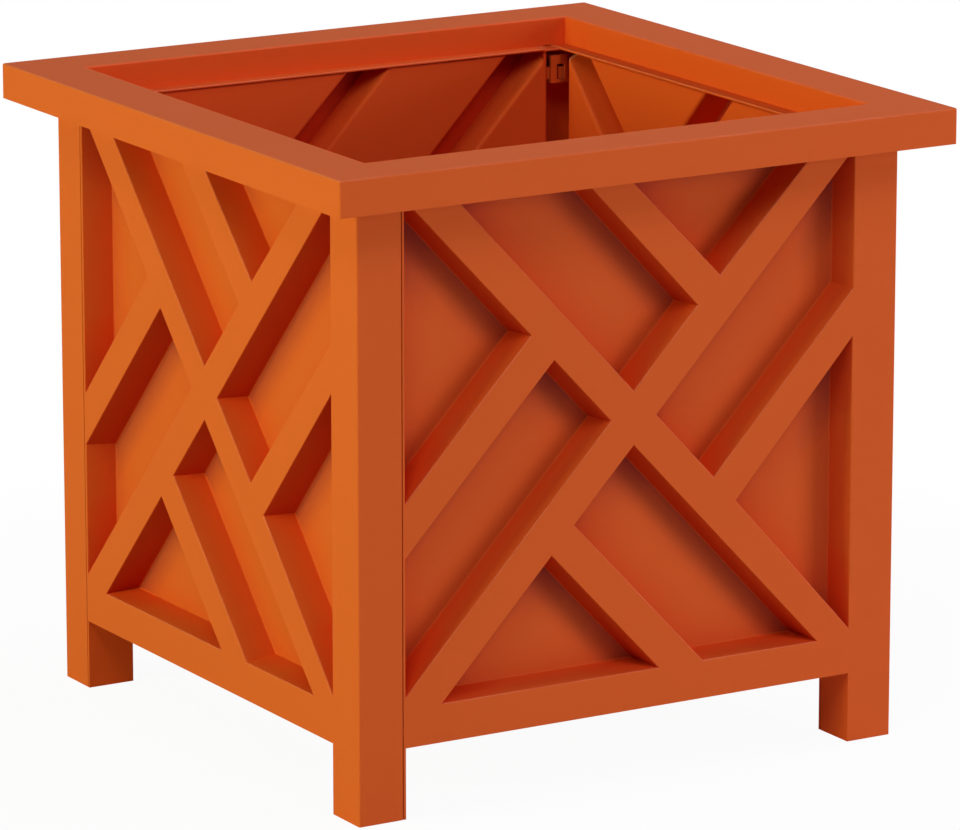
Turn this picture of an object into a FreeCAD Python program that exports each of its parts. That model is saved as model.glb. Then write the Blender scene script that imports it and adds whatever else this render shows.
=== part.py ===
import FreeCAD, Part
import math
import os

# Square planter box of moulded plastic: four lattice sides that latch together at the corner posts,
# a flat square rim that clicks on over them, and a drop-in floor.
# Millimetres. +Z is up and the origin is on the ground at the middle of the footprint.
# The front side faces -Y. "Left" and "right" on a side are those of someone who looks at it from outside.

os.makedirs("parts", exist_ok=True)

# Driving sizes of the whole planter
rim_side = 406.4
rim_overhang = 24.15
planter_height = 375.8
wall = 2.5
overrun = 6.0

# Corner posts and legs
post_width = 29.7
panel_ground_gap = 41.6
post_corner_radius = 1.0
foot_plate = 2.5

# Left-hand end of a side, where its return wall closes the leg of the next side
left_margin_extra = 0.5
return_wall = 1.4
seam_gap = 0.7

# Lattice relief: the bars stay flush with the posts and the pockets between them are sunk.
# The field runs from margin to post and from bottom rail to flange. Heights in it are shares of its own.
bar_width = 21.8
diagonal_slope_share = 1.0737
crown_slope_share = 0.962
gusset_slope_share = 1.043
crossing_height_share = 0.5087
crossing_shift = 0.9
upper_bar_lift_share = 0.4132
left_bar_lift_share = 0.3805
lower_bar_drop_share = 0.3914
right_bar_drop_share = 0.3907
bottom_rail_height = 22.5
recess_depth = 18.9
recess_draft = 2.8
pocket_edge_radius = 0.7
pocket_floor_radius = 0.9
land_edge_radius = 2.2

# Rim
rim_skirt_height = 21.0
rim_top_width = 36.9
rim_inner_skirt_height = 17.0
rim_corner_radius = 1.2
rim_edge_radius = 1.2
rim_rib_thickness = 2.0
rim_rib_flange_gap = 2.5
rim_rib_place_shares = (-0.8, -0.27, 0.27, 0.8)

# Flange and collar that carry the rim
flange_land_overhang = 1.3
flange_thickness = 1.4
flange_nose_radius = 0.5
flange_lap_drop = 0.5
flange_joint_gap = 0.3
collar_headroom = 0.4
rim_fit = 0.3

# Clicks between the rim and the collar
click_width = 18.0
click_thickness = 2.2
click_flange_gap = 4.0
click_barb_reach = 1.8
click_barb_height = 3.0
click_play = 0.5
click_place_shares = (-0.53, 0.0, 0.53)

# Corner latches: a tongue on the return wall enters a block in the neighbour's post
latch_place_shares = (0.1, 0.54, 1.0)
latch_headroom = 3.8
latch_block_height = 17.2
latch_land_setback = 0.4
latch_block_setback = 1.1
latch_block_wall = 2.0
latch_window_start = 4.1
latch_window_width = 5.6
latch_window_drop = 5.6
latch_tongue_thickness = 2.0
latch_play = 0.4
latch_side_gap = 1.2
latch_top_gap = 1.9

# Drop-in floor
floor_clearance = 1.8
floor_plate = 2.5
floor_seat_width = 8.5
floor_seat_play = 0.2
floor_corner_radius = 4.0
floor_rib_depth = 7.0
floor_rib_thickness = 2.0
floor_rib_clearance = 2.0
floor_rib_count = 4
ledge_end_gap = 10.0
drain_hole_radius = 5.0

# Places that follow from the sizes above
rim_half = rim_side / 2
body_half = rim_half - rim_overhang
front = -body_half
field_left = post_width + left_margin_extra - body_half
field_right = body_half - post_width
left_end = field_left - return_wall
post_return_end = left_end - seam_gap
field_bottom = panel_ground_gap + bottom_rail_height
flange_top = planter_height - rim_inner_skirt_height
field_top = flange_top - flange_thickness
field_height = field_top - field_bottom
land_back = front + recess_depth + wall
nose = land_back + flange_land_overhang
rim_opening_half = rim_half - rim_top_width
collar_top = planter_height - wall - collar_headroom
floor_half = -nose - floor_clearance
ledge_top = panel_ground_gap + wall
ledge_inner = -floor_half + floor_seat_width
diagonal_slope = diagonal_slope_share * field_height / (field_right - field_left)
bar_half_rise = bar_width * math.sqrt(1 + diagonal_slope ** 2) / 2
crossing_height = field_bottom + crossing_height_share * field_height
lateral_wall = wall * math.sqrt(1 + (recess_draft / recess_depth) ** 2)
land_left_end = field_left + recess_draft * (recess_depth + wall) / recess_depth - lateral_wall
return_bend = front + (lateral_wall - return_wall) * recess_depth / recess_draft
latch_near = left_end - latch_block_setback
under_rim = planter_height - wall
click_bottom = flange_top + click_flange_gap


def block(x_span, y_span, z_span):
    corner = FreeCAD.Vector(min(x_span), min(y_span), min(z_span))
    lengths = [abs(span[1] - span[0]) for span in (x_span, y_span, z_span)]
    return Part.makeBox(lengths[0], lengths[1], lengths[2], corner)


def plan_prism(points, z_span):
    corners = [FreeCAD.Vector(x, y, z_span[0]) for x, y in points]
    outline = Part.makePolygon(corners + corners[:1])
    return Part.Face(outline).extrude(FreeCAD.Vector(0, 0, z_span[1] - z_span[0]))


def joined(shapes):
    return shapes[0].fuse(shapes[1:]).removeSplitter()


def centred(place, width):
    return (place - width / 2, place + width / 2)


def turned(shape, quarter_turns):
    copy = shape.copy()
    copy.rotate(FreeCAD.Vector(0, 0, 0), FreeCAD.Vector(0, 0, 1), 90 * quarter_turns)
    return copy


def four_ways(shape):
    return [turned(shape, quarter) for quarter in range(4)]


# Lattice lines. A line is told by how far it lies above the crossing of the main diagonals at mid width.

def falling_height(lift, x):
    return crossing_height + lift - diagonal_slope * (x - crossing_shift)


def rising_height(lift, x):
    return crossing_height + lift + diagonal_slope * (x - crossing_shift)


def falling_place(lift, z):
    return crossing_shift + (crossing_height + lift - z) / diagonal_slope


def rising_place(lift, z):
    return crossing_shift + (z - crossing_height - lift) / diagonal_slope


def meeting(falling_lift, rising_lift):
    x = crossing_shift + (falling_lift - rising_lift) / (2 * diagonal_slope)
    return (x, crossing_height + (falling_lift + rising_lift) / 2)


def pocket_outlines():
    half = bar_half_rise
    upper = upper_bar_lift_share * field_height
    left = left_bar_lift_share * field_height
    lower = -lower_bar_drop_share * field_height
    right = -right_bar_drop_share * field_height
    left_triangle = [
        (field_left, rising_height(left + half, field_left)),
        meeting(-half, left + half),
        (field_left, falling_height(-half, field_left)),
    ]
    upper_slot = [
        meeting(half, half),
        meeting(upper - half, half),
        (falling_place(upper - half, field_top), field_top),
        (falling_place(half, field_top), field_top),
    ]
    crown_x, crown_z = meeting(upper + half, half)
    crown_run = (field_top - crown_z) / (crown_slope_share * diagonal_slope)
    crown = [(crown_x, crown_z), (crown_x + crown_run, field_top), (crown_x - crown_run, field_top)]
    right_slot = [
        meeting(half, -half),
        meeting(half, right + half),
        (field_right, rising_height(right + half, field_right)),
        (field_right, rising_height(-half, field_right)),
    ]
    gusset_x, gusset_z = meeting(half, right - half)
    gusset_rise = (field_right - gusset_x) * gusset_slope_share * diagonal_slope
    gusset = [
        (gusset_x, gusset_z),
        (field_right, gusset_z - gusset_rise),
        (field_right, gusset_z + gusset_rise),
    ]
    left_slot = [
        (field_left, rising_height(half, field_left)),
        meeting(-half, half),
        meeting(-half, left - half),
        (field_left, rising_height(left - half, field_left)),
    ]
    lower_slot = [
        (falling_place(lower + half, field_bottom), field_bottom),
        (falling_place(-half, field_bottom), field_bottom),
        meeting(-half, -half),
        meeting(lower + half, -half),
    ]
    bottom_triangle = [
        (rising_place(-half, field_bottom), field_bottom),
        (falling_place(lower - half, field_bottom), field_bottom),
        meeting(lower - half, -half),
    ]
    return [left_triangle, upper_slot, crown, right_slot, gusset, left_slot, lower_slot, bottom_triangle]


def inset(points, distance):
    # Each edge of an anticlockwise outline moves inward, and neighbouring edges are cut again.
    lines = []
    for (x0, z0), (x1, z1) in zip(points, points[1:] + points[:1]):
        length = math.hypot(x1 - x0, z1 - z0)
        normal = ((z0 - z1) / length, (x1 - x0) / length)
        lines.append((normal, normal[0] * x0 + normal[1] * z0 + distance))
    moved = []
    for (n, c), (m, d) in zip(lines[-1:] + lines[:-1], lines):
        spread = n[0] * m[1] - n[1] * m[0]
        moved.append(((c * m[1] - d * n[1]) / spread, (n[0] * d - m[0] * c) / spread))
    return moved


def drafted_prism(outline, start, end, side_offset):
    # The outline shrinks with depth by the draft, so every flank is a plane
    rings = []
    for depth in (start, end):
        points = inset(outline, recess_draft * depth / recess_depth - side_offset)
        rings.append([FreeCAD.Vector(x, front + depth, z) for x, z in points])
    faces = [Part.Face(Part.makePolygon(ring + ring[:1])) for ring in rings]
    near, far = rings
    for a, b, c, d in zip(near, near[1:] + near[:1], far[1:] + far[:1], far):
        faces.append(Part.Face(Part.makePolygon([a, b, c, d, a])))
    return Part.makeSolid(Part.makeShell(faces))


def pocket_cut(outline):
    solid = drafted_prism(outline, -overrun, recess_depth, 0)
    nearly_floor = front + recess_depth - pocket_floor_radius
    floor_edges = [edge for edge in solid.Edges if edge.BoundBox.YMin > nearly_floor]
    return solid.makeFillet(pocket_floor_radius, floor_edges)


def pocket_cup(outline):
    # The land at the back of a pocket is rounded all round, but for its top edge under the flange
    cup = drafted_prism(outline, 0, recess_depth + wall, lateral_wall)
    land_edges = [
        edge for edge in cup.Edges
        if edge.BoundBox.YMin > land_back - wall and edge.BoundBox.ZMin < field_top - recess_draft
    ]
    cup = cup.makeFillet(land_edge_radius, land_edges)
    keep = block((left_end, body_half), (front, land_back), (panel_ground_gap, flange_top))
    return cup.common(keep)


def post():
    # The two outer faces of the post, with its inner wall and foot plate below the panel
    inner = body_half - wall
    outline = [
        (field_right, front), (body_half, front), (body_half, post_return_end),
        (inner, post_return_end), (inner, front + wall), (field_right, front + wall),
    ]
    angle = plan_prism(outline, (0, collar_top))
    inner_wall = block((field_right, field_right + wall), (front, post_return_end), (0, ledge_top))
    foot = block((field_right, body_half), (front, post_return_end), (0, foot_plate))
    leg = joined([angle, inner_wall, foot])
    corner = [
        edge for edge in leg.Edges
        if edge.BoundBox.XMin > body_half - wall / 2
        and edge.BoundBox.YMax < front + wall / 2
        and edge.BoundBox.ZLength > post_width
    ]
    return leg.makeFillet(post_corner_radius, corner)


def left_closed_plan(far_at_front, far_at_land):
    # Plan whose left end is the return wall's outer face: square to the front, then drafted like a pocket
    return [
        (left_end, front), (far_at_front, front), (far_at_land, land_back),
        (land_left_end, land_back), (left_end, return_bend),
    ]


def return_end():
    # Closes the neighbour's leg and ends this side's pockets
    outline = left_closed_plan(field_left, land_left_end + lateral_wall)
    panel_part = plan_prism(outline, (panel_ground_gap, flange_top))
    land_corner = [
        edge for edge in panel_part.Edges
        if edge.BoundBox.YMin > land_back - wall and edge.BoundBox.XMax < land_left_end + wall / 2
        and edge.BoundBox.ZLength > post_width
    ]
    panel_part = panel_part.makeFillet(land_edge_radius, land_corner)
    leg_part = block((left_end, field_left), (front, -field_right), (0, ledge_top))
    return joined([panel_part, leg_part])


def ledge():
    # Closes the foot of the panel and reaches inward to carry the floor
    inner = field_right + wall
    full = plan_prism(left_closed_plan(inner, inner), (panel_ground_gap, ledge_top))
    half_length = field_right - ledge_end_gap
    seat = block((-half_length, half_length), (land_back - wall, ledge_inner), (panel_ground_gap, ledge_top))
    return joined([full, seat])


def flange_plate(x_span, back, top):
    plate = block(x_span, (back, nose), (top - flange_thickness, top))
    nose_edges = [
        edge for edge in plate.Edges
        if edge.BoundBox.YMin > nose - flange_nose_radius and edge.BoundBox.XLength > wall
    ]
    return plate.makeFillet(flange_nose_radius, nose_edges)


def flange():
    # Runs over this side's own post. A lowered lap at the other end stops short of the neighbour's flange.
    lap_root = field_left + recess_draft
    lap_top = flange_top - flange_lap_drop
    lap_span = (nose + flange_joint_gap, lap_root + flange_thickness)
    main = flange_plate((lap_root, body_half), front, flange_top)
    lap = flange_plate(lap_span, front + wall + flange_joint_gap, lap_top)
    foot_z = (lap_top - flange_thickness, flange_top)
    lap_foot = block((left_end, lap_root), (front, front + 2 * wall), foot_z)
    return joined([main, lap, lap_foot])


def latch_levels():
    # The highest latch sits just below the flange, and the others on their shares of the way up to it
    highest = field_top - latch_headroom - latch_block_height / 2
    return [ledge_top + share * (highest - ledge_top) for share in latch_place_shares]


def latch_block(level):
    # Socket inside the post, open towards the neighbour's return wall, with a window to the inside
    far = latch_near - latch_window_start - latch_window_width - latch_block_wall
    face = -land_back + latch_land_setback
    z_span = centred(level, latch_block_height)
    body = block((face, body_half - wall), (far, latch_near), z_span)
    socket_bottom = z_span[0] + latch_block_wall
    socket = block(
        (face + latch_block_wall, body_half - wall - latch_block_wall),
        (far + latch_block_wall, latch_near + overrun),
        (socket_bottom, z_span[1] - latch_block_wall),
    )
    window_near = latch_near - latch_window_start
    window = block(
        (face - overrun, face + latch_block_wall + latch_play),
        (window_near - latch_window_width, window_near),
        (socket_bottom, z_span[1] - latch_window_drop),
    )
    return body.cut(socket).cut(window)


def latch_tongue(level):
    # Springy strip on the return wall, whose barb shows in the neighbour's window
    face = land_back - latch_land_setback
    window_near = latch_near - latch_window_start
    tip = window_near - latch_window_width + latch_play
    z_span = centred(level, latch_block_height)
    barb_top = z_span[1] - latch_window_drop - latch_top_gap
    barb_bottom = z_span[0] + latch_block_wall + latch_play
    back = face - latch_block_wall - latch_play
    strip = block((tip, land_left_end), (back - latch_tongue_thickness, back), (barb_bottom, barb_top))
    barb = block((tip, window_near - latch_side_gap), (back, face - latch_play), (barb_bottom, barb_top))
    return joined([strip, barb])


def click_window(place_share):
    top = click_bottom + click_barb_height + click_play
    x_span = centred(place_share * rim_half, click_width + 2 * click_play)
    return block(x_span, (front - overrun, front + wall + overrun), (click_bottom - click_play, top))


def side_moulding():
    outlines = pocket_outlines()
    face = block((left_end, field_right + wall), (front, front + wall), (panel_ground_gap, collar_top))
    pieces = [face, post(), return_end(), ledge(), flange()]
    pieces += [pocket_cup(outline) for outline in outlines]
    pieces += [latch_block(level) for level in latch_levels()]
    pieces += [latch_tongue(level) for level in latch_levels()]
    solid = joined(pieces)
    for outline in outlines:
        solid = solid.cut(pocket_cut(outline))
    for share in click_place_shares:
        solid = solid.cut(click_window(share))
    return solid.makeFillet(pocket_edge_radius, pocket_mouth_edges(solid))


def pocket_mouth_edges(solid):
    # Edges on the front face that bound a pocket
    inside = []
    for edge in solid.Edges:
        box = edge.BoundBox
        on_front = box.YMax < front + wall / 2
        within_x = box.XMin > field_left - return_wall / 2 and box.XMax < field_right + post_width / 2
        within_z = box.ZMin > field_bottom - bottom_rail_height / 2 and box.ZMax < flange_top
        if on_front and within_x and within_z:
            inside.append(edge)
    return inside


def rim_ribs():
    # Gussets under the rim hold the collar between them
    z_span = (flange_top + rim_rib_flange_gap, under_rim)
    outer_span = (wall / 2 - rim_half, front - rim_fit)
    inner_span = (front + wall + rim_fit, -rim_opening_half - wall / 2)
    ribs = []
    for share in rim_rib_place_shares:
        x_span = centred(share * rim_half, rim_rib_thickness)
        ribs.append(block(x_span, outer_span, z_span))
        if abs(share) * rim_half < rim_opening_half:
            ribs.append(block(x_span, inner_span, z_span))
    return ribs


def rim_clicks():
    back = front + wall + rim_fit
    tongues = []
    for share in click_place_shares:
        x_span = centred(share * rim_half, click_width)
        tongues.append(block(x_span, (back, back + click_thickness), (click_bottom, under_rim)))
        barb_z = (click_bottom, click_bottom + click_barb_height)
        tongues.append(block(x_span, (back - click_barb_reach, back), barb_z))
    return tongues


def rim():
    span = (-rim_half, rim_half)
    hollow = (wall - rim_half, rim_half - wall)
    inner = (-rim_opening_half - wall, rim_opening_half + wall)
    opening = (-rim_opening_half, rim_opening_half)
    skirt_bottom = planter_height - rim_skirt_height
    cap = block(span, span, (skirt_bottom, planter_height))
    cap = cap.cut(block(hollow, hollow, (skirt_bottom - overrun, under_rim)))
    inner_skirt = block(inner, inner, (flange_top, planter_height))
    ring = joined([cap, inner_skirt])
    ring = ring.cut(block(opening, opening, (skirt_bottom - overrun, planter_height + overrun)))
    upright = [
        edge for edge in ring.Edges
        if edge.BoundBox.ZLength > rim_skirt_height / 2
        and edge.BoundBox.XMax ** 2 > (rim_half - rim_edge_radius) ** 2
        and edge.BoundBox.YMax ** 2 > (rim_half - rim_edge_radius) ** 2
    ]
    ring = ring.makeFillet(rim_corner_radius, upright)
    top_edges = [edge for edge in ring.Edges if edge.BoundBox.ZMin > planter_height - rim_edge_radius / 2]
    ring = ring.makeFillet(rim_edge_radius, top_edges)
    fittings = []
    for piece in rim_ribs() + rim_clicks():
        fittings += four_ways(piece)
    return joined([ring] + fittings)


def floor_panel():
    bottom = ledge_top + floor_seat_play
    span = (-floor_half, floor_half)
    plate = block(span, span, (bottom, bottom + floor_plate))
    corners = [edge for edge in plate.Edges if edge.BoundBox.ZLength > floor_plate / 2]
    plate = plate.makeFillet(floor_corner_radius, corners)
    reach = -ledge_inner - floor_rib_clearance
    first = floor_rib_thickness / 2 - reach
    pitch = (2 * reach - floor_rib_thickness) / (floor_rib_count - 1)
    z_span = (bottom - floor_rib_depth, bottom)
    pieces = [plate]
    for number in range(floor_rib_count):
        thickness = centred(first + number * pitch, floor_rib_thickness)
        pieces.append(block(thickness, (-reach, reach), z_span))
        pieces.append(block((-reach, reach), thickness, z_span))
    # A drain hole in the middle of every other cell between the ribs
    holes = []
    cell_middles = [first + (number + 1 / 2) * pitch for number in range(floor_rib_count - 1)]
    for column, x in enumerate(cell_middles):
        for row, y in enumerate(cell_middles):
            if (column + row) % 2 == 0:
                centre = FreeCAD.Vector(x, y, bottom - overrun)
                holes.append(Part.makeCylinder(drain_hole_radius, floor_plate + 2 * overrun, centre))
    return joined(pieces).cut(Part.makeCompound(holes))


side = side_moulding()
side_names = ("side_front", "side_right", "side_back", "side_left")
nodes = {name: turned(side, quarter) for quarter, name in enumerate(side_names)}
nodes["rim"] = rim()
nodes["floor_panel"] = floor_panel()

for name, shape in nodes.items():
    shape.exportStep("parts/" + name + ".step")
    print(name, "solids", len(shape.Solids), "valid", shape.isValid(), "volume", round(shape.Volume))
    print("  ", shape.BoundBox)
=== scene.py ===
import math

import bpy
import numpy as np
from mathutils import Matrix, Vector

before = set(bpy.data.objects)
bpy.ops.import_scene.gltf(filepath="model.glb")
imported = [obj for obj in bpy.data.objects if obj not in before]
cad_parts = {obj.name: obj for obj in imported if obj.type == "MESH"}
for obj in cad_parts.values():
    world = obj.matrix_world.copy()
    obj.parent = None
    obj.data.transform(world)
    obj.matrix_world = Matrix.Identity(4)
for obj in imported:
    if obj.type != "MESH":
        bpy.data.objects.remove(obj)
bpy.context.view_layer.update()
print("stage: frame loaded", sorted(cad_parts))

# Square lattice planter of moulded terracotta plastic on a pale studio floor.
# Metres, +Z up, the front side faces -Y, and the ground is z = 0.


# Node helpers

def newGroup(name, inputs, outputs):
    # A shader node group, its sockets told by name as kind: {"Colour": "Color", "Wear": "Float"}
    group = bpy.data.node_groups.new(name, "ShaderNodeTree")
    for direction, sockets in (("INPUT", inputs), ("OUTPUT", outputs)):
        for socketName, kind in sockets.items():
            group.interface.new_socket(socketName, in_out=direction, socket_type="NodeSocket" + kind)
    entry = group.nodes.new("NodeGroupInput")
    leave = group.nodes.new("NodeGroupOutput")
    return group, entry.outputs, leave.inputs


def feed(tree, socket, value):
    # A plain value goes on the socket itself, and another node's output is linked to it
    if isinstance(value, (int, float, tuple)):
        socket.default_value = value
    else:
        tree.links.new(value, socket)


def groupNode(tree, group, settings, links):
    # A node of a shared group: each socket is linked as links say, or else takes the setting of its
    # name, so "Crease Tone" takes creaseTone
    node = tree.nodes.new("ShaderNodeGroup")
    node.node_tree = group
    for socket in node.inputs:
        words = socket.name.split()
        settingName = words[0].lower() + "".join(words[1:])
        feed(tree, socket, links[socket.name] if socket.name in links else settings[settingName])
    return node.outputs


def mathNode(tree, operation, first, second=None, clamp=False):
    node = tree.nodes.new("ShaderNodeMath")
    node.operation = operation
    node.use_clamp = clamp
    feed(tree, node.inputs[0], first)
    if second is not None:
        feed(tree, node.inputs[1], second)
    return node.outputs[0]


def oneLess(tree, value, clamp=False):
    return mathNode(tree, "SUBTRACT", 1.0, value, clamp)


def productOf(tree, first, *others):
    for other in others:
        first = mathNode(tree, "MULTIPLY", first, other)
    return first


def vectorNode(tree, operation, *sources):
    node = tree.nodes.new("ShaderNodeVectorMath")
    node.operation = operation
    for slot, source in enumerate(sources):
        feed(tree, node.inputs[slot], source)
    return node.outputs["Value" if operation in ("DOT_PRODUCT", "LENGTH") else "Vector"]


def noiseNode(tree, scale, pattern):
    # Noise on the piece's own coordinates in metres, so that it stays on the piece when that moves
    node = tree.nodes.new("ShaderNodeTexNoise")
    node.inputs["Detail"].default_value = pattern["detail"]
    node.inputs["Roughness"].default_value = pattern["roughness"]
    tree.links.new(tree.nodes.new("ShaderNodeTexCoord").outputs["Object"], node.inputs["Vector"])
    feed(tree, node.inputs["Scale"], scale)
    return node.outputs["Fac"]


def smoothShare(tree, value, start, full):
    # 0 at start, 1 at full, and a smooth step between them
    node = tree.nodes.new("ShaderNodeMapRange")
    node.interpolation_type = "SMOOTHSTEP"
    for socketName, source in (("Value", value), ("From Min", start), ("From Max", full)):
        feed(tree, node.inputs[socketName], source)
    return node.outputs["Result"]


def blended(tree, kind, first, second, amount):
    # first, and second in its place by amount, or with "MULTIPLY" first x (1 - amount x (1 - second))
    node = tree.nodes.new("ShaderNodeMix")
    node.data_type = "RGBA"
    node.blend_type = kind
    for socketName, source in (("Factor", amount), ("A", first), ("B", second)):
        feed(tree, node.inputs[socketName], source)
    return node.outputs["Result"]


looksPerPoint = 2        # rays of each look round a point, which the render's own samples smooth


def opennessOf(tree, reach, normal=None, inside=False):
    # Open share of the half sphere over a point, looked at as far as reach, or of the one under it.
    # With a normal of its own it minds every piece, and without one only the piece itself.
    node = tree.nodes.new("ShaderNodeAmbientOcclusion")
    node.samples = looksPerPoint
    node.inside = inside
    node.only_local = normal is None
    feed(tree, node.inputs["Distance"], reach)
    if normal is not None:
        tree.links.new(normal, node.inputs["Normal"])
    return node.outputs["AO"]


def riseOf(tree, normal):
    # 1 on a level face that looks up, 0 on an upright one, -1 on one that looks down
    return vectorNode(tree, "DOT_PRODUCT", normal, (0, 0, 1))


# Shared effects

patterns = {
    "grain": {"detail": 3.0, "roughness": 0.6},
    "wave": {"detail": 1.0, "roughness": 0.4},
    "drift": {"detail": 3.0, "roughness": 0.55},
    "patches": {"detail": 2.0, "roughness": 0.5},
}


def buildMouldedGrain():
    # Height = fine spark-eroded grain plus a slow waviness of the wall, each with its own weight, and
    # Speckle = the grain alone
    group, entry, leave = newGroup(
        "mouldedGrain",
        {"Grain Scale": "Float", "Grain Weight": "Float",
         "Wave Scale": "Float", "Wave Weight": "Float"},
        {"Height": "Float", "Speckle": "Float"},
    )
    grain = noiseNode(group, entry["Grain Scale"], patterns["grain"])
    wave = noiseNode(group, entry["Wave Scale"], patterns["wave"])
    height = mathNode(group, "ADD", productOf(group, grain, entry["Grain Weight"]),
                      productOf(group, wave, entry["Wave Weight"]))
    group.links.new(height, leave["Height"])
    group.links.new(grain, leave["Speckle"])
    return group


def buildColourDrift():
    # Colour = the resin colour, drifting slowly towards a second tone where pigment flowed unevenly
    group, entry, leave = newGroup(
        "colourDrift",
        {"Resin": "Color", "Flow Tone": "Color", "Drift Scale": "Float", "Drift Amount": "Float"},
        {"Colour": "Color"},
    )
    drift = noiseNode(group, entry["Drift Scale"], patterns["drift"])
    amount = mathNode(group, "MULTIPLY", drift, entry["Drift Amount"], clamp=True)
    group.links.new(blended(group, "MIX", entry["Resin"], entry["Flow Tone"], amount), leave["Colour"])
    return group


def buildPlaceOnPlanter():
    # Masks for the painted shade and painted bounce light. Facing = how squarely a face lies in the plane
    # of the side that it is on, Inner = 1 where it looks at the middle of the planter, and Spared = 1 on
    # the feet, which the pale ground lights, and in the hollow posts, where no shade is painted
    group, entry, leave = newGroup(
        "placeOnPlanter",
        {"Lean Start": "Float", "Lean Full": "Float", "Post Start": "Float", "Post Full": "Float",
         "Foot Start": "Float", "Foot Full": "Float"},
        {"Inner": "Float", "Facing": "Float", "Spared": "Float"},
    )
    coordinates = group.nodes.new("ShaderNodeTexCoord")
    parts = []
    for name in ("Object", "Normal"):
        split = group.nodes.new("ShaderNodeSeparateXYZ")
        group.links.new(coordinates.outputs[name], split.inputs["Vector"])
        parts.append(split.outputs)
    place, normal = parts
    # Along X and along Y: how far the normal leans outwards, and how far the point is from the middle
    level = ("X", "Y")
    leans = [productOf(group, normal[axis], mathNode(group, "SIGN", place[axis])) for axis in level]
    spans = [mathNode(group, "ABSOLUTE", place[axis]) for axis in level]
    # The lean along X on the left and right sides, and along Y on the front and the back
    outwards = group.nodes.new("ShaderNodeMix")
    group.links.new(mathNode(group, "GREATER_THAN", *spans), outwards.inputs["Factor"])
    group.links.new(leans[1], outwards.inputs["A"])
    group.links.new(leans[0], outwards.inputs["B"])
    inwards = productOf(group, outwards.outputs["Result"], -1.0)
    foot = smoothShare(group, place["Z"], entry["Foot Start"], entry["Foot Full"])
    footInwards = productOf(group, mathNode(group, "MINIMUM", *leans), -1.0, foot)
    looksInwards = mathNode(group, "MAXIMUM", inwards, footInwards)
    inner = smoothShare(group, looksInwards, entry["Lean Start"], entry["Lean Full"])
    post = smoothShare(group, mathNode(group, "MINIMUM", *spans), entry["Post Start"], entry["Post Full"])
    group.links.new(inner, leave["Inner"])
    group.links.new(mathNode(group, "ABSOLUTE", inwards), leave["Facing"])
    group.links.new(mathNode(group, "MAXIMUM", foot, productOf(group, post, inner)), leave["Spared"])
    return group


def buildPaintedShade():
    # Painted shade. Creases are painted a darker, redder tone, the outer faces that hang over a deep one,
    # and upright faces are painted dark where a bar or the rim closes the sky over them.
    group, entry, leave = newGroup(
        "shelteredTone",
        {"Colour": "Color", "Inner": "Float", "Facing": "Float", "Spared": "Float",
         "Crease Tone": "Color", "Crease Reach": "Float", "Crease Start": "Float", "Crease Full": "Float",
         "Land Ease": "Float", "Shelter Tone": "Color", "Shelter Reach": "Float", "Sky Lean": "Float",
         "Open Share": "Float", "Wall Share": "Float", "Near Start": "Float", "Near Full": "Float",
         "Undercut Tone": "Color", "Slant Start": "Float", "Slant Full": "Float"},
        {"Colour": "Color"},
    )
    normal = group.nodes.new("ShaderNodeNewGeometry").outputs["Normal"]
    rise = riseOf(group, normal)
    steepness = mathNode(group, "ABSOLUTE", rise)
    slanted = smoothShare(group, steepness, entry["Slant Start"], entry["Slant Full"])
    exposed = oneLess(group, entry["Spared"])
    outer = oneLess(group, entry["Inner"])
    # Creases: painted shade where a point is closed, eased on the outer lands and left out on the inner
    # slants
    closed = oneLess(group, opennessOf(group, entry["Crease Reach"]))
    crease = smoothShare(group, closed, entry["Crease Start"], entry["Crease Full"])
    eased = productOf(group, outer, entry["Facing"], entry["Land Ease"])
    innerSlant = productOf(group, entry["Inner"], slanted)
    kept = mathNode(group, "SUBTRACT", exposed, innerSlant)
    kept = mathNode(group, "SUBTRACT", kept, eased, clamp=True)
    crease = productOf(group, crease, kept)
    # Shelter: painted shadow where an upright face sees little of the sky
    upwards = group.nodes.new("ShaderNodeCombineXYZ")
    group.links.new(entry["Sky Lean"], upwards.inputs["Z"])
    skyward = vectorNode(group, "ADD", normal, upwards.outputs["Vector"])
    skyward = vectorNode(group, "NORMALIZE", skyward)
    seen = opennessOf(group, entry["Shelter Reach"], skyward)
    nearCrease = smoothShare(group, closed, entry["Near Start"], entry["Near Full"])
    upright = mathNode(group, "SUBTRACT", exposed, slanted, clamp=True)
    squareShare = mathNode(group, "MAXIMUM", entry["Facing"], entry["Wall Share"])
    shelter = oneLess(group, smoothShare(group, seen, 0.0, entry["Open Share"]))
    shelter = productOf(group, shelter, nearCrease, upright, squareShare)
    # Undercut: painted shade on outer faces that look down
    undercut = productOf(group, slanted, mathNode(group, "LESS_THAN", rise, 0.0), outer)
    colour = entry["Colour"]
    shares = {"Crease Tone": crease, "Shelter Tone": shelter, "Undercut Tone": undercut}
    for toneName, share in shares.items():
        colour = blended(group, "MULTIPLY", colour, entry[toneName], share)
    group.links.new(colour, leave["Colour"])
    return group


def buildPaintedInsideBounce():
    # Painted bounce light: faces that look at the middle of the planter are painted a brighter, purer
    # red, as light bounced round inside would make them
    group, entry, leave = newGroup(
        "unfadedInside",
        {"Colour": "Color", "Inner": "Float", "Inside Tone": "Color"},
        {"Colour": "Color"},
    )
    colour = blended(group, "MULTIPLY", entry["Colour"], entry["Inside Tone"], entry["Inner"])
    group.links.new(colour, leave["Colour"])
    return group


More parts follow.
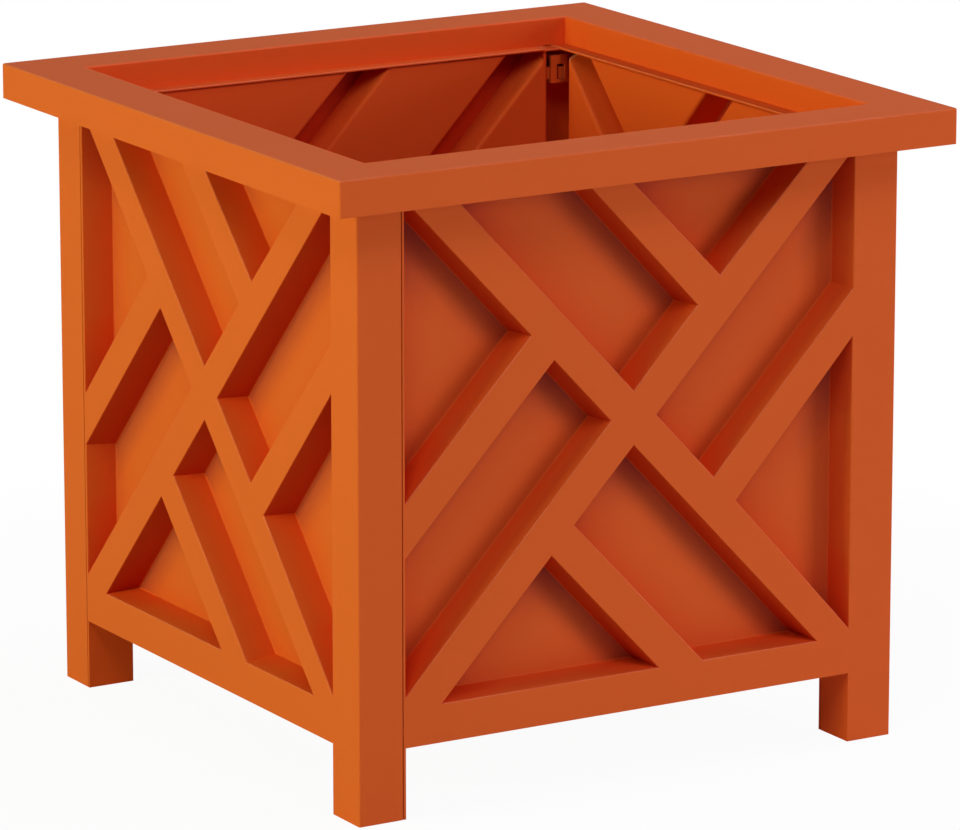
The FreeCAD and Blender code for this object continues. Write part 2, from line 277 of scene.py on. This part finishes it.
def buildEdgeWearAndHighlight():
    # Upper edges are paler, part from wear and part as a painted highlight where light catches them. The
    # thinner the resin under a point, the nearer an edge is.
    group, entry, leave = newGroup(
        "edgeWear",
        {"Colour": "Color", "Worn Tone": "Color", "Edge Reach": "Float", "Rise Start": "Float",
         "Rise Full": "Float", "Wear": "Float", "Patch Scale": "Float"},
        {"Colour": "Color"},
    )
    edge = oneLess(group, opennessOf(group, entry["Edge Reach"], inside=True), clamp=True)
    patches = noiseNode(group, entry["Patch Scale"], patterns["patches"])
    normal = group.nodes.new("ShaderNodeNewGeometry").outputs["Normal"]
    upper = smoothShare(group, riseOf(group, normal), entry["Rise Start"], entry["Rise Full"])
    # Paler upper edges: part wear, part painted highlight on edges that face up
    wearAndHighlightShare = productOf(group, edge, patches, upper)
    wear = mathNode(group, "MULTIPLY", wearAndHighlightShare, entry["Wear"], clamp=True)
    group.links.new(blended(group, "MIX", entry["Colour"], entry["Worn Tone"], wear), leave["Colour"])
    return group


mouldedGrain = buildMouldedGrain()
colourDrift = buildColourDrift()
placeOnPlanter = buildPlaceOnPlanter()
shelteredTone = buildPaintedShade()
unfadedInside = buildPaintedInsideBounce()
edgeWear = buildEdgeWearAndHighlight()
print("stage: shared effects built")


# Terracotta resin

# Tones are factors on the resin colour, but for the flow tone and the tone of the paler edges, which are
# colours.
# A rise is 0 on an upright face and 1 on a level one. A closed share is the part of the half sphere
# over a point that the piece itself takes up.
resin = {
    "resin": (0.73, 0.132, 0.0225, 1),      # resin colour, as on open outer faces with no painted shade
    "flowTone": (0.70, 0.124, 0.0210, 1),   # and the one that it drifts to
    "driftScale": 9.0,                      # patches per metre, about
    "driftAmount": 0.5,                     # how far, where the noise is 1
    "leanStart": 0.02,                      # inward lean of a normal where inner faces start
    "leanFull": 0.12,                       # and where it is full
    "postStart": 0.146,                     # metres from the middle to a corner post
    "postFull": 0.150,                      # and just past it
    "footStart": 0.045,                     # metres over the ground, where a leg leaves the panel
    "footFull": 0.035,                      # and a little lower, where it stands free
    "creaseTone": (1.1, 0.56, 0.44, 1),     # painted shade in a crease, darker and redder
    "creaseReach": 0.03,                    # metres
    "creaseStart": 0.33,                    # closed share where a crease starts
    "creaseFull": 0.5,                      # and where it is full
    "landEase": 0.6,                        # share of the crease shade taken off on the outer lands
    "shelterTone": (0.28, 0.24, 1.6, 1),    # painted shadow where the sky is out of sight
    "shelterReach": 0.035,                  # metres
    "skyLean": 2.5,                         # lean of the look to the sky, against 1 along the normal
    "openShare": 0.48,                      # seen share over which no shadow is painted
    "wallShare": 0.4,                       # share of painted shadow on the upright walls of the pockets
    "nearStart": 0.05,                      # closed share where the painted shadow starts to count
    "nearFull": 0.25,                       # and where it is full
    "undercutTone": (0.70, 0.42, 0.40, 1),  # painted shade on outer faces that look down
    "slantStart": 0.1,                      # rise of a face where it counts as slanted
    "slantFull": 0.5,                       # and where it is one in full
    "insideTone": (1.22, 0.95, 0.85, 1),    # painted bounce light on the inner faces, brighter and purer red
    "wornTone": (0.95, 0.36, 0.20, 1),      # colour of a paler edge, part wear and part painted highlight
    "edgeReach": 0.0012,                    # metres
    "riseStart": 0.15,                      # rise of a face where its edges start to pale, as wear and as a painted highlight
    "riseFull": 0.45,                       # and where they do in full
    "wear": 3.0,                            # how much, before it is cut at 1
    "patchScale": 30.0,                     # patches of paler edge per metre, about
    "roughness": 0.5,                       # mean
    "roughnessSwing": 0.06,                 # from the lowest to the highest grain
    "specular": 0.012,                      # matt, as a weathered resin is
    "grainScale": 2600.0,                   # grains per metre, about
    "grainWeight": 0.6,                     # share of the bump
    "waveScale": 14.0,                      # waves per metre, about
    "waveWeight": 0.5,                      # share of the bump
    "bumpDistance": 0.00006,                # metres from the lowest to the highest point
    "bumpStrength": 0.5,                    # share of that height
}


def makeResin(name, settings):
    material = bpy.data.materials.new(name)
    material.use_nodes = True
    tree = material.node_tree
    shader = tree.nodes["Principled BSDF"]
    shader.inputs["Specular IOR Level"].default_value = settings["specular"]
    place = groupNode(tree, placeOnPlanter, settings, {})
    drift = groupNode(tree, colourDrift, settings, {})
    # Painted shade in creases, where bars and the rim close the sky, and on outer faces that look down
    shaded = groupNode(tree, shelteredTone, settings, {
        "Colour": drift["Colour"],
        "Inner": place["Inner"],
        "Facing": place["Facing"],
        "Spared": place["Spared"],
    })
    # Painted bounce light: inner faces tinted a brighter, purer red
    inside = groupNode(tree, unfadedInside, settings, {
        "Colour": shaded["Colour"],
        "Inner": place["Inner"],
    })
    # Paler upper edges, part wear and part painted highlight
    wearAndHighlit = groupNode(tree, edgeWear, settings, {"Colour": inside["Colour"]})
    tree.links.new(wearAndHighlit["Colour"], shader.inputs["Base Color"])
    grain = groupNode(tree, mouldedGrain, settings, {})
    swing = mathNode(tree, "MULTIPLY", grain["Speckle"], settings["roughnessSwing"])
    smoothest = settings["roughness"] - settings["roughnessSwing"] / 2
    tree.links.new(mathNode(tree, "ADD", swing, smoothest), shader.inputs["Roughness"])
    bump = tree.nodes.new("ShaderNodeBump")
    bump.inputs["Strength"].default_value = settings["bumpStrength"]
    bump.inputs["Distance"].default_value = settings["bumpDistance"]
    tree.links.new(grain["Height"], bump.inputs["Height"])
    tree.links.new(bump.outputs["Normal"], shader.inputs["Normal"])
    return material


resinMaterial = makeResin("terracottaResin", resin)
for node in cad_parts.values():
    node.data.materials.clear()
    node.data.materials.append(resinMaterial)
print("stage: resin on", len(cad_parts), "pieces")


# Pale floor, which carries on past the picture as a plain white backdrop

stage = {
    "size": 12.0,            # metres along each edge
    "floorColour": (0.92, 0.92, 0.92, 1),
    "floorRoughness": 0.9,
    "nearWhite": 0.95,       # share of plain white that the camera sees beside the planter
    "nearRadius": 0.30,      # metres from the middle where the white starts to take over
    "farRadius": 0.75,       # and where nothing but white is left
}


def viewRay(tree):
    # 1 for rays from the camera and for those that a surface mirrors or passes on, and 0 for others
    path = tree.nodes.new("ShaderNodeLightPath")
    seen = mathNode(tree, "MAXIMUM", path.outputs["Is Camera Ray"], path.outputs["Is Transmission Ray"])
    return mathNode(tree, "MAXIMUM", seen, path.outputs["Is Glossy Ray"])


def makeFloor(settings):
    half = settings["size"] / 2
    mesh = bpy.data.meshes.new("studioFloor")
    corners = [(-half, -half, 0), (half, -half, 0), (half, half, 0), (-half, half, 0)]
    mesh.from_pydata(corners, [], [(0, 1, 2, 3)])
    floor = bpy.data.objects.new("studioFloor", mesh)
    bpy.context.scene.collection.objects.link(floor)
    material = bpy.data.materials.new("palePaper")
    material.use_nodes = True
    tree = material.node_tree
    shader = tree.nodes["Principled BSDF"]
    shader.inputs["Base Color"].default_value = settings["floorColour"]
    shader.inputs["Roughness"].default_value = settings["floorRoughness"]
    shader.inputs["Specular IOR Level"].default_value = 0
    white = tree.nodes.new("ShaderNodeEmission")
    radius = vectorNode(tree, "LENGTH", tree.nodes.new("ShaderNodeTexCoord").outputs["Object"])
    share = smoothShare(tree, radius, settings["nearRadius"], settings["farRadius"])
    share.node.inputs["To Min"].default_value = settings["nearWhite"]
    blend = tree.nodes.new("ShaderNodeMixShader")
    tree.links.new(productOf(tree, share, viewRay(tree)), blend.inputs["Fac"])
    tree.links.new(shader.outputs["BSDF"], blend.inputs[1])
    tree.links.new(white.outputs["Emission"], blend.inputs[2])
    tree.links.new(blend.outputs["Shader"], tree.nodes["Material Output"].inputs["Surface"])
    mesh.materials.append(material)


makeFloor(stage)
print("stage: floor laid")


# Soft studio light: square soft boxes on a ring round the planter, all turned to its middle.
# Azimuth is in degrees from straight in front, negative towards the left side.

def awayBy(azimuthDegrees, elevationDegrees):
    # Unit vector from the planter towards a lamp or the camera
    azimuth = math.radians(azimuthDegrees)
    elevation = math.radians(elevationDegrees)
    return Vector((
        math.sin(azimuth) * math.cos(elevation),
        -math.cos(azimuth) * math.cos(elevation),
        math.sin(elevation),
    ))


ring = {
    "radius": 3.4,                   # metres from the middle, like the next two
    "aimHeight": 0.2,
    "size": 1.2,
    "warm": (1.0, 1.19, 0.65),       # tints
    "plain": (1.0, 1.0, 1.0),
    "cool": (1.0, 0.89, 1.33),
}
lamps = {
    "leftSoft": {"azimuth": -91, "elevation": 12, "watts": 62.7, "tint": "warm"},
    "frontLeftSoft": {"azimuth": -45, "elevation": 45, "watts": 17.0, "tint": "plain"},
    "frontSoft": {"azimuth": 0, "elevation": 45, "watts": 14.5, "tint": "cool"},
    "frontRightSoft": {"azimuth": 43, "elevation": 8, "watts": 33.8, "tint": "cool"},
    "rightSoft": {"azimuth": 90, "elevation": 40, "watts": 50.0, "tint": "cool"},
    "backSoft": {"azimuth": 178, "elevation": 6, "watts": 24.0, "tint": "plain"},
}
world = {"colour": (1.0, 1.0, 1.0, 1), "fill": 0.0}


def makeLamp(name, settings):
    outwards = awayBy(settings["azimuth"], settings["elevation"])
    light = bpy.data.lights.new(name, "AREA")
    light.shape = "SQUARE"
    light.size = ring["size"]
    light.energy = settings["watts"]
    light.color = ring[settings["tint"]]
    lamp = bpy.data.objects.new(name, light)
    bpy.context.scene.collection.objects.link(lamp)
    place = outwards * ring["radius"] + Vector((0, 0, ring["aimHeight"]))
    lamp.matrix_world = Matrix.Translation(place) @ outwards.to_track_quat("Z", "Y").to_matrix().to_4x4()


def makeWorld(settings):
    # White for the camera and for mirrors, and for light as much of it as fill says, which is none
    studio = bpy.data.worlds.new("studioAir")
    bpy.context.scene.world = studio
    studio.use_nodes = True
    tree = studio.node_tree
    background = tree.nodes["Background"]
    background.inputs["Color"].default_value = settings["colour"]
    gap = mathNode(tree, "MULTIPLY", viewRay(tree), 1.0 - settings["fill"])
    tree.links.new(mathNode(tree, "ADD", gap, settings["fill"]), background.inputs["Strength"])


for lampName, lampSettings in lamps.items():
    makeLamp(lampName, lampSettings)
makeWorld(world)
print("stage: lit")


# Camera: a long lens a little above the rim, turned towards the front left corner

camera = {
    "azimuth": -30.753,      # degrees, like the next two
    "elevation": 13.704,
    "roll": -0.025,
    "distance": 3.7604,      # metres, like the next two
    "sideStep": 0.0052,      # how far right of the middle the camera aims
    "aimHeight": 0.17784,
    "lens": 238.92,          # millimetres
    "sensor": 36.0,
    "farthest": 50.0,        # metres, to the end of what the camera sees
}


def makeCamera(settings):
    azimuth = math.radians(settings["azimuth"])
    roll = math.radians(settings["roll"])
    back = awayBy(settings["azimuth"], settings["elevation"])
    right = Vector((math.cos(azimuth), math.sin(azimuth), 0))
    up = back.cross(right)
    turnedRight = right * math.cos(roll) + up * math.sin(roll)
    turnedUp = up * math.cos(roll) - right * math.sin(roll)
    aim = right * settings["sideStep"] + Vector((0, 0, settings["aimHeight"]))
    place = aim + back * settings["distance"]
    view = bpy.data.cameras.new("studioCamera")
    view.sensor_fit = "HORIZONTAL"
    view.sensor_width = settings["sensor"]
    view.lens = settings["lens"]
    view.clip_end = settings["farthest"]
    viewer = bpy.data.objects.new("studioCamera", view)
    bpy.context.scene.collection.objects.link(viewer)
    columns = [turnedRight, turnedUp, back, place]
    rows = [[column[row] for column in columns] for row in range(3)]
    viewer.matrix_world = Matrix(rows + [[0, 0, 0, 1]])
    bpy.context.scene.camera = viewer


makeCamera(camera)
bpy.context.scene.view_settings.view_transform = "Standard"
print("stage: camera set")
